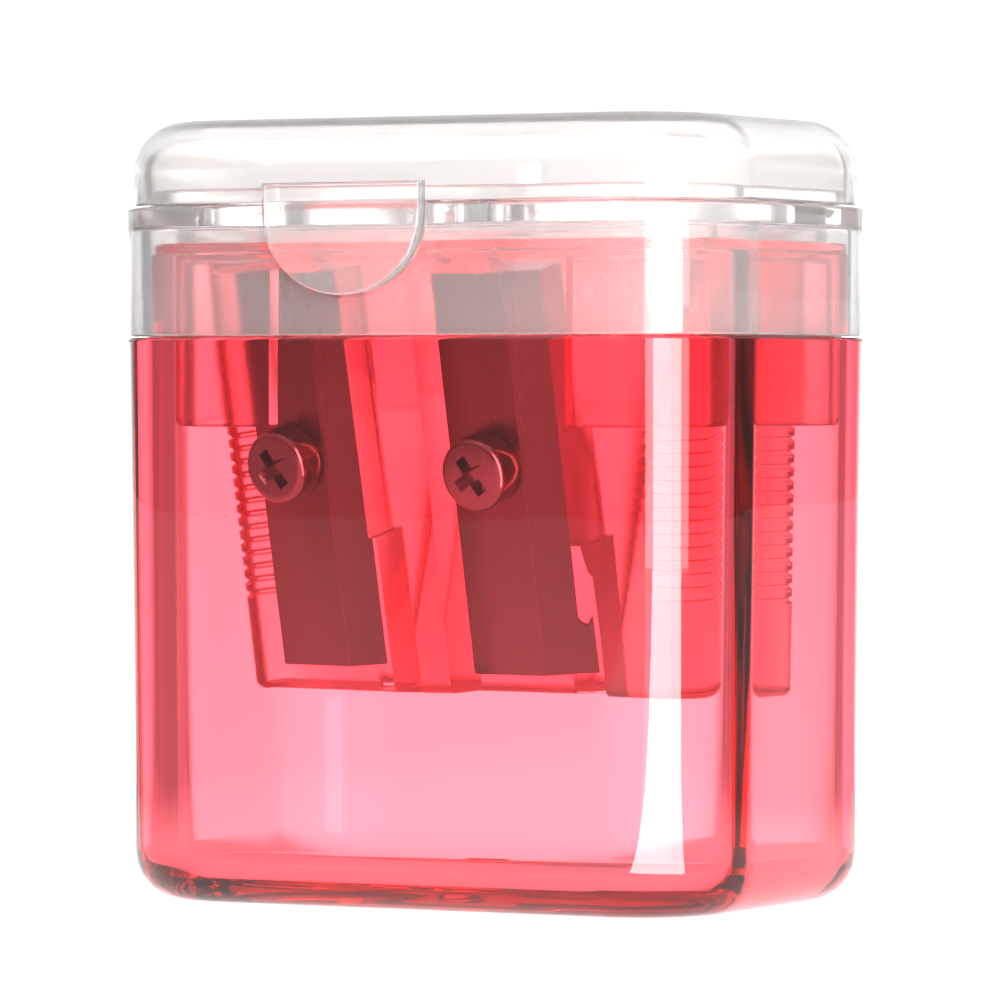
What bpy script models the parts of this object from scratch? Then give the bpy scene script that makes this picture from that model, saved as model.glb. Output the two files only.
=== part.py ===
"""Two-hole pencil sharpener in a lidded receptacle, as separate working pieces.

Frame: +X to the user's right, +Y to the back, +Z up; the origin is the middle of the flat base.
Lengths below are in millimetres and become metres where a mesh is made.
"""
import math

import bmesh
import bpy
from mathutils import Euler, Matrix, Vector

MM = 0.001
CORNER_SEGMENTS = 9
FILLET_SEGMENTS = 4
ROUND_SIDES = 48
SHARP_ANGLE = math.radians(32.0)
FIT = 0.05
OVERLAP = 0.3  # how far one joined solid sinks into the next
OVERRUN = 1.0  # how far a cutter passes the surface it cuts

# Outline shared by the receptacle's shoulder and the collar's skirt.
WIDTH = 40.2
DEPTH = 27.0
CORNER = 7.8

# Receptacle.
SHOULDER_Z = 32.5
WALL_DRAFT = 0.5
BASE_FILLET = 2.8
FLOOR = 1.9
NECK_INSET = 1.4
NECK_RIM_Z = 37.35
NECK_ROOT = 10.0
MOUTH_INSET = 2.6
CAVITY_DRAFT = 0.3
CAVITY_FILLET = 1.4
GATE_RADIUS = 1.2
GATE_HEIGHT = 0.4

# Insert: flange, plug skirt and the block that holds the blades.
INSERT_TOP_Z = 37.9
FLANGE = 0.5
FLANGE_INSET = 1.6
DECK_UNDERSIDE_Z = 36.9
PLUG_INSET = 2.8
PLUG_WALL = 1.0
PLUG_BOTTOM_Z = 27.3
WINDOW_LEFT = -8.3
WINDOW_RIGHT = 10.7
WINDOW_BACK = -8.5
BLOCK_BOTTOM_Z = 11.8
BLOCK_HALF_WIDTH = 15.7
BLOCK_DRAFT = 0.45
BLOCK_BACK = 7.2
BLOCK_FOOT_FRONT = -2.6
BLOCK_CORNER = 3.4
GROOVES_LOW_Z = 17.0
GROOVES_HIGH_Z = 27.0
GROOVE_PITCH = 0.75
GROOVE_WIDTH = 0.37
GROOVE_DEPTH = 0.18

# Pencil holes and their cones.
BORE_Y = 0.9
CONE_ANGLE = math.radians(11.5)
TIP_RADIUS = 1.0
TIP_Z = 12.8
HOLES = {
    "small": {"x": -6.35, "bore": 4.1, "collar_hole": 4.7, "blade_z": 25.0, "yaw": -8.0},
    "large": {"x": 6.4, "bore": 5.75, "collar_hole": 6.2, "blade_z": 24.7, "yaw": -4.5},
}

# Blades and their seats, across (x), outwards (-y) and along (z) in the blade's own frame.
BLADE_LENGTH = 24.0
BLADE_WIDTH = 7.0
BLADE_THICKNESS = 0.8
BLADE_BEVEL = 2.1
BLADE_OVERHANG = 0.1
SEAT_SIDE_GAP = 0.1
SEAT_END_GAP = 1.1
SLOT_WIDTH = 1.6
SLOT_DEPTH = 0.6
SLOT_UNDERCUT = 0.7
SLOT_FLARE = 0.5
SLOT_FLARE_TOP = -4.0
SEAT_REACH = 6.0

# Blade screws.
SCREW_X = -4.35
HEAD_RADIUS = 2.1
HEAD_HEIGHT = 1.9
SHANK_RADIUS = 0.8
SHANK_BITE = 2.0
RECESS_SPAN = 2.7
RECESS_WIDTH = 0.75
RECESS_DEPTH = 0.9
RECESS_TURN = math.radians(33.0)
HEAD_EDGE = ((0.78, 0.04), (0.94, 0.16), (1.0, 0.42))  # of the head's radius, below its top
POINT_TAPER = 0.55
POINT_LENGTH = 0.4
HOLE_SPARE = 0.2
BLADE_HOLE_GAP = 0.25

# Collar.
SKIRT_BOTTOM_Z = 32.55
COLLAR_TOP_Z = 40.0
SKIRT_WALL = 1.3
DECK_THICKNESS = 1.15
LIP_BOTTOM_Z = 37.95
LIP_WALL = 1.0
SPIGOT_TOP_Z = 41.0
SPIGOT_WALL = 0.9
SPIGOT_GAP = 0.1

# Lid.
LID_BOTTOM_Z = 40.1
LID_TOP_Z = 45.0
LID_INSET = 0.35
LID_WALL = 1.0
LID_FILLET = 3.0
TONGUE_X = -2.5
TONGUE_WIDTH = 10.2
TONGUE_TOP_Z = 41.2
TONGUE_BOTTOM_Z = 34.8
TONGUE_OUTER_Y = -14.0
TONGUE_INNER_Y = -13.2
TONGUE_ROUND = 4.7
TONGUE_GAP = 0.15
TONGUE_ROOT_Y = -12.5
STOP_RIB = (-4.2, -2.8, 11.4, 12.5)
STOP_RIB_Z = (41.8, 43.1)

# Hinge: the lid's barrel and trunnions turn between the collar's two ears.
HINGE_Y = 14.4
HINGE_Z = 40.1
BARREL_RADIUS = 1.1
BARREL_HALF = 5.0
BARREL_RELIEF = 0.2
WEB_ROOT_Y = 12.5
TRUNNION_RADIUS = 0.6
SOCKET_RADIUS = 0.68
EAR_GAP = 0.15
EAR_WIDTH = 2.5
EAR_ROOT = 0.6
EAR_BOTTOM_Z = 38.2
EAR_TOP_Z = 39.9
TRUNNION_HALF = 7.4


def clear_scene():
    for item in list(bpy.data.objects):
        bpy.data.objects.remove(item, do_unlink=True)


def new_collection(name):
    group = bpy.data.collections.new(name)
    bpy.context.scene.collection.children.link(group)
    return group


def plastic(name, colour, alpha):
    made = bpy.data.materials.new(name)
    made.use_nodes = True
    shader = made.node_tree.nodes["Principled BSDF"]
    shader.inputs["Base Color"].default_value = (*colour, 1.0)
    shader.inputs["Roughness"].default_value = 0.08
    shader.inputs["Metallic"].default_value = 0.0
    shader.inputs["Transmission Weight"].default_value = 0.8
    shader.inputs["Alpha"].default_value = alpha
    made.diffuse_color = (*colour, alpha)
    return made


def steel(name, colour, roughness):
    made = bpy.data.materials.new(name)
    made.use_nodes = True
    shader = made.node_tree.nodes["Principled BSDF"]
    shader.inputs["Base Color"].default_value = (*colour, 1.0)
    shader.inputs["Roughness"].default_value = roughness
    shader.inputs["Metallic"].default_value = 1.0
    made.diffuse_color = (*colour, 1.0)
    return made


def finish_mesh(name, bm, group):
    """Make a smooth-shaded object in metres from a bmesh in millimetres."""
    bmesh.ops.scale(bm, vec=(MM, MM, MM), verts=bm.verts)
    bmesh.ops.recalc_face_normals(bm, faces=bm.faces)
    mesh = bpy.data.meshes.new(name)
    bm.to_mesh(mesh)
    bm.free()
    mesh.shade_smooth()
    mesh.set_sharp_from_angle(angle=SHARP_ANGLE)
    item = bpy.data.objects.new(name, mesh)
    group.objects.link(item)
    return item


def centred(width, depth):
    """The rectangle (left, right, front, back) of this size about the origin."""
    return (-width / 2, width / 2, -depth / 2, depth / 2)


def grown(rect, amount):
    left, right, front, back = rect
    return (left - amount, right + amount, front - amount, back + amount)


def add_prism(bm, rect, bottom, top, corner=0.0, foot=None, base_fillet=0.0, top_fillet=0.0):
    """Add an upright block with rounded corners; foot is its rectangle at the bottom."""
    left, right, front, back = rect
    size = Vector((right - left, back - front, top - bottom))
    middle = Vector(((left + right) / 2, (front + back) / 2, (bottom + top) / 2))
    made = bmesh.ops.create_cube(bm, size=1.0)["verts"]
    bmesh.ops.scale(bm, vec=size, verts=made)
    bmesh.ops.translate(bm, vec=middle, verts=made)
    if corner > 0.0:
        edges = {edge for vert in made for edge in vert.link_edges}
        upright = [edge for edge in edges if abs(edge.verts[0].co.z - edge.verts[1].co.z) > size.z / 2]
        rounded = bmesh.ops.bevel(bm, geom=upright, offset=corner, offset_type="OFFSET",
                                  segments=CORNER_SEGMENTS, profile=0.5, affect="EDGES")
        made = list({*rounded["verts"], *[vert for vert in made if vert.is_valid]})
    if foot:
        foot_scale = ((foot[1] - foot[0]) / size.x, (foot[3] - foot[2]) / size.y)
        for vert in made:
            if vert.co.z < middle.z:
                vert.co.x = foot[0] + (vert.co.x - left) * foot_scale[0]
                vert.co.y = foot[2] + (vert.co.y - front) * foot_scale[1]
    for fillet, level in ((base_fillet, bottom), (top_fillet, top)):
        if fillet > 0.0:
            rim = [edge for edge in bm.edges if all(abs(vert.co.z - level) < 1e-6 for vert in edge.verts)]
            bmesh.ops.bevel(bm, geom=rim, offset=fillet, offset_type="OFFSET",
                            segments=FILLET_SEGMENTS, profile=0.5, affect="EDGES")


def prism(name, group, *shape, **options):
    bm = bmesh.new()
    add_prism(bm, *shape, **options)
    return finish_mesh(name, bm, group)


def cylinder_along_x(name, group, radius, left, right):
    """A round bar on the hinge axis."""
    bm = bmesh.new()
    turn = Matrix.Rotation(math.radians(90.0), 4, "Y")
    place = Matrix.Translation(((left + right) / 2, HINGE_Y, HINGE_Z)) @ turn
    bmesh.ops.create_cone(bm, cap_ends=True, segments=ROUND_SIDES // 2, radius1=radius,
                          radius2=radius, depth=right - left, matrix=place)
    return finish_mesh(name, bm, group)


def turned(name, group, profile):
    """Turn a profile of (radius, height), top to bottom, about the object's Z axis."""
    mesh = bpy.data.meshes.new(name)
    points = [(radius * MM, 0.0, height * MM) for radius, height in profile]
    mesh.from_pydata(points, [(i, i + 1) for i in range(len(points) - 1)], [])
    item = bpy.data.objects.new(name, mesh)
    group.objects.link(item)
    screw = item.modifiers.new("turn", "SCREW")
    screw.axis = "Z"
    screw.steps = ROUND_SIDES
    screw.render_steps = ROUND_SIDES
    screw.use_merge_vertices = True
    screw.merge_threshold = 0.00001
    screw.use_smooth_shade = True
    return item


def combine(target, other, operation):
    step = target.modifiers.new(f"{operation.lower()} {other.name}", "BOOLEAN")
    step.operation = operation
    step.solver = "EXACT"
    step.object = other


def cut(target, cutter):
    combine(target, cutter, "DIFFERENCE")


def join(target, other):
    combine(target, other, "UNION")


def give(item, material):
    item.data.materials.append(material)


def tongue_outline(name, group, front, back, gap):
    """A plate hanging down with a round lower end, grown all round by gap."""
    half = TONGUE_WIDTH / 2 + gap
    bm = bmesh.new()
    made = bmesh.ops.create_cube(bm, size=1.0)["verts"]
    height = TONGUE_TOP_Z - TONGUE_BOTTOM_Z + gap
    bmesh.ops.scale(bm, vec=(2 * half, back - front, height), verts=made)
    low = [edge for edge in bm.edges
           if all(vert.co.z < 0.0 for vert in edge.verts) and edge.verts[0].co.x == edge.verts[1].co.x]
    bmesh.ops.bevel(bm, geom=low, offset=TONGUE_ROUND + gap, offset_type="OFFSET",
                    segments=CORNER_SEGMENTS, profile=0.5, affect="EDGES")
    middle = (TONGUE_X, (front + back) / 2, TONGUE_TOP_Z - height / 2)
    bmesh.ops.translate(bm, vec=middle, verts=bm.verts)
    return finish_mesh(name, bm, group)


def make_receptacle(parts, tools, material):
    outer = centred(WIDTH, DEPTH)
    body = prism("receptacle", parts, outer, 0.0, SHOULDER_Z, corner=CORNER,
                 foot=grown(outer, -WALL_DRAFT), base_fillet=BASE_FILLET)
    neck = prism("neck_solid", tools, grown(outer, -NECK_INSET), SHOULDER_Z - NECK_ROOT, NECK_RIM_Z,
                 corner=CORNER - NECK_INSET)
    mouth = grown(outer, -MOUTH_INSET)
    cavity = prism("cavity_cutter", tools, mouth, FLOOR, NECK_RIM_Z + OVERRUN, corner=CORNER - MOUTH_INSET,
                   foot=grown(mouth, -CAVITY_DRAFT), base_fillet=CAVITY_FILLET)
    gate = turned("gate_solid", tools, [(0.0, FLOOR + GATE_HEIGHT), (GATE_RADIUS, FLOOR + GATE_HEIGHT),
                                        (GATE_RADIUS, FLOOR - OVERLAP), (0.0, FLOOR - OVERLAP)])
    join(body, neck)
    cut(body, cavity)
    join(body, gate)
    give(body, material)
    return body


def cone_radius(z):
    return TIP_RADIUS + (z - TIP_Z) * math.tan(CONE_ANGLE)


def bore_cutter(kind, tools):
    """The pencil hole: a cylinder, the cone below it and the tip's own small hole."""
    hole = HOLES[kind]
    bore = hole["bore"]
    cone_top = TIP_Z + (bore - TIP_RADIUS) / math.tan(CONE_ANGLE)
    above = INSERT_TOP_Z + OVERRUN
    below = BLOCK_BOTTOM_Z - OVERRUN
    cutter = turned(f"{kind}_bore_cutter", tools,
                    [(0.0, above), (bore, above), (bore, cone_top), (TIP_RADIUS, TIP_Z),
                     (TIP_RADIUS, below), (0.0, below)])
    cutter.location = (hole["x"] * MM, BORE_Y * MM, 0.0)
    return cutter


def blade_frame(kind):
    """The seat's own frame: the origin on the line where the cone touches the blade."""
    hole = HOLES[kind]
    radius = cone_radius(hole["blade_z"])
    yaw = math.radians(hole["yaw"])
    outward = Vector((math.sin(yaw), -math.cos(yaw), 0.0))
    foot = Vector((hole["x"], BORE_Y, hole["blade_z"])) + outward * radius
    turn = Euler((CONE_ANGLE, 0.0, yaw)).to_matrix().to_4x4()
    return Matrix.Translation(foot * MM) @ turn


def screw_frame(kind):
    """The screw's own frame: +Z out along the shank, the origin on the seat."""
    across = Matrix.Translation((SCREW_X * MM, 0.0, 0.0))
    return blade_frame(kind) @ across @ Matrix.Rotation(math.radians(90.0), 4, "X")


def seat_cutter(kind, tools):
    """The pocket that a blade lies in."""
    left = BLADE_OVERHANG - BLADE_WIDTH - SEAT_SIDE_GAP
    right = BLADE_OVERHANG + SLOT_WIDTH
    low = -BLADE_LENGTH / 2 - SEAT_END_GAP
    high = BLADE_LENGTH / 2 + SEAT_SIDE_GAP
    cutter = prism(f"{kind}_seat_cutter", tools, (left, right, -SEAT_REACH, 0.0), low, high)
    cutter.matrix_world = blade_frame(kind)
    return cutter


def slot_cutter(kind, tools):
    """The shaving slot beside the cutting edge, wider towards the pencil's tip."""
    right = BLADE_OVERHANG + SLOT_WIDTH - FIT
    low = -BLADE_LENGTH / 2 - SEAT_END_GAP + 2 * FIT
    cutter = prism(f"{kind}_slot_cutter", tools, (-SLOT_UNDERCUT, right, -SEAT_REACH - FIT, SLOT_DEPTH),
                   low, BLADE_LENGTH / 2)
    cutter.matrix_world = blade_frame(kind)
    return cutter


def flare_cutter(kind, tools):
    """The wider lower part of the shaving slot."""
    right = BLADE_OVERHANG + SLOT_WIDTH + SLOT_FLARE
    low = -BLADE_LENGTH / 2 - SEAT_END_GAP + FIT
    cutter = prism(f"{kind}_flare_cutter", tools, (0.0, right, -SEAT_REACH + FIT, SLOT_DEPTH + FIT),
                   low, SLOT_FLARE_TOP)
    cutter.matrix_world = blade_frame(kind)
    return cutter


def block_rect(z):
    """The block's outline at height z: its front leans with the blades, its ends have draft."""
    rise = z - BLOCK_BOTTOM_Z
    half = BLOCK_HALF_WIDTH - BLOCK_DRAFT * (1.0 - rise / (INSERT_TOP_Z - BLOCK_BOTTOM_Z))
    return (-half, half, BLOCK_FOOT_FRONT - rise * math.tan(CONE_ANGLE), BLOCK_BACK)


def groove_cutter(side, tools):
    """Finger grooves across one end of the block."""
    bm = bmesh.new()
    count = int((GROOVES_HIGH_Z - GROOVES_LOW_Z) / GROOVE_PITCH) + 1
    for index in range(count):
        low = GROOVES_LOW_Z + index * GROOVE_PITCH
        floor = side * (block_rect(low)[1] - GROOVE_DEPTH)
        left, right = sorted((floor, floor + side * OVERRUN))
        add_prism(bm, (left, right, -DEPTH, DEPTH), low, low + GROOVE_WIDTH)
    name = "left_grooves_cutter" if side < 0 else "right_grooves_cutter"
    return finish_mesh(name, bm, tools)


def block_solid(tools):
    """The sharpening block with its grooves, blade seats, slots and screw holes."""
    top = DECK_UNDERSIDE_Z + OVERLAP
    block = prism("block_solid", tools, block_rect(top), BLOCK_BOTTOM_Z, top, corner=BLOCK_CORNER,
                  foot=block_rect(BLOCK_BOTTOM_Z))
    for side in (-1, 1):
        cut(block, groove_cutter(side, tools))
    for kind in HOLES:
        cut(block, seat_cutter(kind, tools))
        cut(block, slot_cutter(kind, tools))
        cut(block, flare_cutter(kind, tools))
        thread = SHANK_RADIUS + FIT
        end = -SHANK_BITE - HOLE_SPARE
        hole = turned(f"{kind}_screw_hole_cutter", tools,
                      [(0.0, OVERRUN), (thread, OVERRUN), (thread, end), (0.0, end)])
        hole.matrix_world = screw_frame(kind)
        cut(block, hole)
    return block


def make_insert(parts, tools, material):
    plug = grown(centred(WIDTH, DEPTH), -PLUG_INSET)
    insert = prism("sharpener_insert", parts, plug, PLUG_BOTTOM_Z, INSERT_TOP_Z - FIT,
                   corner=CORNER - PLUG_INSET)
    hollow = prism("plug_cutter", tools, grown(plug, -PLUG_WALL), PLUG_BOTTOM_Z - OVERRUN, DECK_UNDERSIDE_Z,
                   corner=CORNER - PLUG_INSET - PLUG_WALL)
    window = prism("window_cutter", tools, (WINDOW_LEFT, WINDOW_RIGHT, -DEPTH, WINDOW_BACK),
                   PLUG_BOTTOM_Z - OVERRUN, DECK_UNDERSIDE_Z)
    flange = prism("flange_solid", tools, grown(centred(WIDTH, DEPTH), -FLANGE_INSET),
                   INSERT_TOP_Z - FLANGE, INSERT_TOP_Z, corner=CORNER - FLANGE_INSET)
    cut(insert, hollow)
    cut(insert, window)
    join(insert, flange)
    join(insert, block_solid(tools))
    for kind in HOLES:
        cut(insert, bore_cutter(kind, tools))
    give(insert, material)
    return insert


def make_blade(kind, parts, tools, material):
    """A flat blade with one ground edge and a clearance hole for its screw."""
    right = BLADE_OVERHANG
    left = right - BLADE_WIDTH
    bm = bmesh.new()
    back = -FIT
    add_prism(bm, (left, right, back - BLADE_THICKNESS, back), -BLADE_LENGTH / 2, BLADE_LENGTH / 2)
    for vert in bm.verts:
        if vert.co.x > 0.0 and vert.co.y < back - BLADE_THICKNESS / 2:
            vert.co.x -= BLADE_BEVEL
    blade = finish_mesh(f"blade_{kind}", bm, parts)
    blade.matrix_world = blade_frame(kind)
    clearance = SHANK_RADIUS + BLADE_HOLE_GAP
    start = BLADE_THICKNESS + OVERRUN
    hole = turned(f"{kind}_blade_hole_cutter", tools,
                  [(0.0, start), (clearance, start), (clearance, -OVERRUN), (0.0, -OVERRUN)])
    hole.matrix_world = screw_frame(kind)
    cut(blade, hole)
    give(blade, material)
    return blade


def make_screw(kind, parts, tools, material):
    """A flat-topped round-head screw with a cross recess."""
    seat = 2 * FIT + BLADE_THICKNESS
    top = seat + HEAD_HEIGHT
    crown = [(HEAD_RADIUS * share, top - drop) for share, drop in HEAD_EDGE]
    screw = turned(f"screw_{kind}", parts, [
        (0.0, top), *crown, (HEAD_RADIUS, seat), (SHANK_RADIUS, seat),
        (SHANK_RADIUS, POINT_LENGTH - SHANK_BITE), (SHANK_RADIUS * POINT_TAPER, -SHANK_BITE),
        (0.0, -SHANK_BITE)])
    screw.matrix_world = screw_frame(kind)
    half = RECESS_SPAN / 2
    arm = RECESS_WIDTH / 2
    levels = (top - RECESS_DEPTH, top + OVERRUN)
    across = prism(f"{kind}_recess_across", tools, (-half, half, -arm, arm), *levels)
    along = prism(f"{kind}_recess_along", tools, (-arm, arm, -half, half), *levels)
    for cutter in (across, along):
        cutter.matrix_world = screw_frame(kind) @ Matrix.Rotation(RECESS_TURN, 4, "Z")
        cut(screw, cutter)
    give(screw, material)
    return screw


def make_collar(parts, tools, material):
    outer = centred(WIDTH, DEPTH)
    deck_underside = COLLAR_TOP_Z - DECK_THICKNESS
    collar = prism("collar", parts, outer, SKIRT_BOTTOM_Z, COLLAR_TOP_Z, corner=CORNER)
    hollow = prism("skirt_cutter", tools, grown(outer, -SKIRT_WALL), SKIRT_BOTTOM_Z - OVERRUN, deck_underside,
                   corner=CORNER - SKIRT_WALL)
    lip_rect = grown(outer, -PLUG_INSET)
    lip = prism("lip_solid", tools, lip_rect, LIP_BOTTOM_Z, deck_underside + OVERLAP,
                corner=CORNER - PLUG_INSET)
    lip_hollow = prism("lip_cutter", tools, grown(lip_rect, -LIP_WALL), LIP_BOTTOM_Z - OVERRUN,
                       deck_underside, corner=CORNER - PLUG_INSET - LIP_WALL)
    spigot_rect = grown(outer, -LID_INSET - LID_WALL - SPIGOT_GAP)
    spigot_corner = CORNER - LID_INSET - LID_WALL - SPIGOT_GAP
    spigot = prism("spigot_solid", tools, spigot_rect, COLLAR_TOP_Z - OVERLAP, SPIGOT_TOP_Z,
                   corner=spigot_corner)
    spigot_hollow = prism("spigot_cutter", tools, grown(spigot_rect, -SPIGOT_WALL),
                          COLLAR_TOP_Z - OVERRUN, SPIGOT_TOP_Z + OVERRUN,
                          corner=spigot_corner - SPIGOT_WALL)
    cut(lip, lip_hollow)
    cut(spigot, spigot_hollow)
    cut(collar, hollow)
    join(collar, lip)
    join(collar, spigot)
    relief = cylinder_along_x("barrel_relief_cutter", tools, BARREL_RADIUS + BARREL_RELIEF,
                              -BARREL_HALF - EAR_GAP, BARREL_HALF + EAR_GAP)
    cut(collar, relief)
    for side, name in ((-1, "left"), (1, "right")):
        near = side * (BARREL_HALF + EAR_GAP)
        far = near + side * EAR_WIDTH
        low, high = sorted((near, far))
        ear = prism(f"{name}_ear_solid", tools,
                    (low, high, DEPTH / 2 - EAR_ROOT, HINGE_Y + BARREL_RADIUS), EAR_BOTTOM_Z, EAR_TOP_Z)
        knuckle = cylinder_along_x(f"{name}_knuckle_solid", tools, BARREL_RADIUS, low, high)
        join(ear, knuckle)
        join(collar, ear)
        socket = cylinder_along_x(f"{name}_socket_cutter", tools, SOCKET_RADIUS,
                                  low - OVERRUN, high + OVERRUN)
        cut(collar, socket)
    front_relief = tongue_outline("tongue_relief_cutter", tools, TONGUE_OUTER_Y,
                                  TONGUE_INNER_Y + TONGUE_GAP, TONGUE_GAP)
    cut(collar, front_relief)
    for kind, hole in HOLES.items():
        radius = hole["collar_hole"]
        above = SPIGOT_TOP_Z + OVERRUN
        below = LIP_BOTTOM_Z - OVERRUN
        mouth = turned(f"{kind}_collar_hole_cutter", tools,
                       [(0.0, above), (radius, above), (radius, below), (0.0, below)])
        mouth.location = (hole["x"] * MM, BORE_Y * MM, 0.0)
        cut(collar, mouth)
    give(collar, material)
    return collar


def make_lid(parts, tools, material):
    outer = grown(centred(WIDTH, DEPTH), -LID_INSET)
    lid = prism("lid", parts, outer, LID_BOTTOM_Z, LID_TOP_Z, corner=CORNER - LID_INSET,
                top_fillet=LID_FILLET)
    hollow = prism("lid_cutter", tools, grown(outer, -LID_WALL), LID_BOTTOM_Z - OVERRUN, LID_TOP_Z - LID_WALL,
                   corner=CORNER - LID_INSET - LID_WALL, top_fillet=LID_FILLET - LID_WALL)
    cut(lid, hollow)
    tongue = tongue_outline("tongue_solid", tools, TONGUE_OUTER_Y, TONGUE_INNER_Y, 0.0)
    left = TONGUE_X - TONGUE_WIDTH / 2
    right = TONGUE_X + TONGUE_WIDTH / 2
    root = prism("tongue_root_solid", tools,
                 (left + FIT, right - FIT, TONGUE_OUTER_Y + FIT, TONGUE_ROOT_Y),
                 LID_BOTTOM_Z + FIT, TONGUE_TOP_Z - FIT)
    stop = prism("stop_rib_solid", tools, STOP_RIB, *STOP_RIB_Z)
    web = prism("hinge_web_solid", tools,
                (-BARREL_HALF + FIT, BARREL_HALF - FIT, WEB_ROOT_Y, HINGE_Y),
                LID_BOTTOM_Z + FIT, HINGE_Z + BARREL_RADIUS - FIT)
    barrel = cylinder_along_x("barrel_solid", tools, BARREL_RADIUS, -BARREL_HALF, BARREL_HALF)
    trunnions = cylinder_along_x("trunnions_solid", tools, TRUNNION_RADIUS, -TRUNNION_HALF, TRUNNION_HALF)
    for solid in (root, tongue, stop, web, barrel, trunnions):
        join(lid, solid)
    give(lid, material)
    return lid


def hang_on_pivot(item, name, group):
    """Parent an object to an empty on the hinge axis, where it turns."""
    pivot = bpy.data.objects.new(name, None)
    pivot.location = (0.0, HINGE_Y * MM, HINGE_Z * MM)
    group.objects.link(pivot)
    item.parent = pivot
    item.matrix_parent_inverse = Matrix.Translation(pivot.location).inverted()
    return pivot


def build():
    clear_scene()
    parts = new_collection("pencil_sharpener")
    tools = new_collection("cutters")
    red = plastic("red_plastic", (0.92, 0.06, 0.10), 0.55)
    clear = plastic("clear_plastic", (0.94, 0.95, 0.96), 0.35)
    blade_steel = steel("blade_steel", (0.62, 0.61, 0.60), 0.28)
    screw_steel = steel("screw_steel", (0.70, 0.69, 0.68), 0.22)
    make_receptacle(parts, tools, red)
    make_insert(parts, tools, red)
    for kind in HOLES:
        make_blade(kind, parts, tools, blade_steel)
        make_screw(kind, parts, tools, screw_steel)
    make_collar(parts, tools, clear)
    lid = make_lid(parts, tools, clear)
    hang_on_pivot(lid, "lid_hinge_axis", parts)
    for helper in tools.objects:
        helper.hide_render = True
        helper.display_type = "WIRE"


build()
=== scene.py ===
"""A translucent red two-hole pencil sharpener with a clear collar and hinged lid, in a white studio.

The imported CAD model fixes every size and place. The plastic, blades and screws are rebuilt here with
finer outlines, rounded edges and procedural materials. Lengths below are in millimetres.
"""
import math

import bmesh
import bpy
from mathutils import Euler, Matrix, Vector


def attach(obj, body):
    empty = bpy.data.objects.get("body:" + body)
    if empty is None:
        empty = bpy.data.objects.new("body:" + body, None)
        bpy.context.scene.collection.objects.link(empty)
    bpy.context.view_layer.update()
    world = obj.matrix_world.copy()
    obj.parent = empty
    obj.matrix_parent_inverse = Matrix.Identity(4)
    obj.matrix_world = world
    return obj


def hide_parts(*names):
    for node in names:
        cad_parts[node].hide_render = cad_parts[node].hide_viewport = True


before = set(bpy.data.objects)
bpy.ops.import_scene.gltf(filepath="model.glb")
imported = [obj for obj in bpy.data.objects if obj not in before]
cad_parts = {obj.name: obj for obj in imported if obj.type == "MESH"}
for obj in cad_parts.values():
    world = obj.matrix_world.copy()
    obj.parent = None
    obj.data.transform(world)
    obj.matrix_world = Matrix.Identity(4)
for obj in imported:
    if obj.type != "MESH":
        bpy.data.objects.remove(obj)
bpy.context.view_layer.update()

MM = 0.001
ARC_STEPS = 20
FILLET_STEPS = 6
ROUND_SIDES = 96
TONGUE_STEPS = 28
GAP = 0.05
OVERLAP = 0.3  # how far one joined solid sinks into the next
OVERRUN = 1.0  # how far a cutter passes the surface it cuts
MIDDLE = 12.0  # inset at which a closed cap's profile ends
CAP_INSET = 8.0
RIM_FLARE = 0.25  # how much a hole opens at its rim
RIM_DEPTH = 0.2

# Outline shared by every plastic piece: each outline is this one, inset.
WIDTH = 40.2
DEPTH = 27.0
CORNER = 7.8

# Receptacle.
SHOULDER_Z = 32.5
NECK_INSET = 1.4
NECK_RIM_Z = 37.35
MOUTH_INSET = 2.6
FLOOR_Z = 1.9
WALL_DRAFT = 0.5
CAVITY_DRAFT = 0.3
BASE_FILLET = 2.8
CAVITY_FILLET = 1.4
GATE_RADIUS = 1.2
GATE_TOP_Z = 2.3

# Insert.
INSERT_TOP_Z = 37.9
FLANGE_Z = 37.4
FLANGE_INSET = 1.6
DECK_Z = 36.9
PLUG_INSET = 2.8
PLUG_HOLLOW_INSET = 3.8
PLUG_BOTTOM_Z = 27.3
WINDOW_LEFT = -8.3
WINDOW_RIGHT = 10.7
WINDOW_BACK = -8.5
BLOCK_BOTTOM_Z = 11.8
BLOCK_HALF_WIDTH = 15.7
BLOCK_DRAFT = 0.45
BLOCK_BACK = 7.2
BLOCK_FOOT_FRONT = -2.6
BLOCK_CORNER = 3.4
GROOVES_LOW_Z = 17.0
GROOVE_COUNT = 14
GROOVE_PITCH = 0.75
GROOVE_WIDTH = 0.37
GROOVE_DEPTH = 0.18

# Pencil holes.
BORE_Y = 0.9
CONE_ANGLE = math.radians(11.5)
TIP_RADIUS = 1.0
TIP_Z = 12.8
HOLES = {
    "small": {"x": -6.35, "bore": 4.1, "collar_hole": 4.7, "blade_z": 25.0, "yaw": -8.0},
    "large": {"x": 6.4, "bore": 5.75, "collar_hole": 6.2, "blade_z": 24.7, "yaw": -4.5},
}

# Blades, seats and screws.
BLADE_LENGTH = 24.0
BLADE_WIDTH = 7.0
BLADE_THICKNESS = 0.8
BLADE_BEVEL = 2.1
BLADE_OVERHANG = 0.1
SEAT_SIDE_GAP = 0.1
SEAT_END_GAP = 1.1
SLOT_WIDTH = 1.6
SLOT_DEPTH = 0.6
SLOT_UNDERCUT = 0.7
SLOT_FLARE = 0.5
SLOT_FLARE_TOP = -4.0
SEAT_REACH = 6.0
SCREW_X = -4.35
HEAD_RADIUS = 2.1
HEAD_HEIGHT = 1.9
HEAD_EDGE = 0.4
SHANK_RADIUS = 0.8
SHANK_BITE = 2.0
THREAD_PITCH = 0.45
RECESS_SPAN = 2.7
RECESS_WIDTH = 0.75
RECESS_DEPTH = 0.9
RECESS_TURN = math.radians(33.0)

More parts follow.
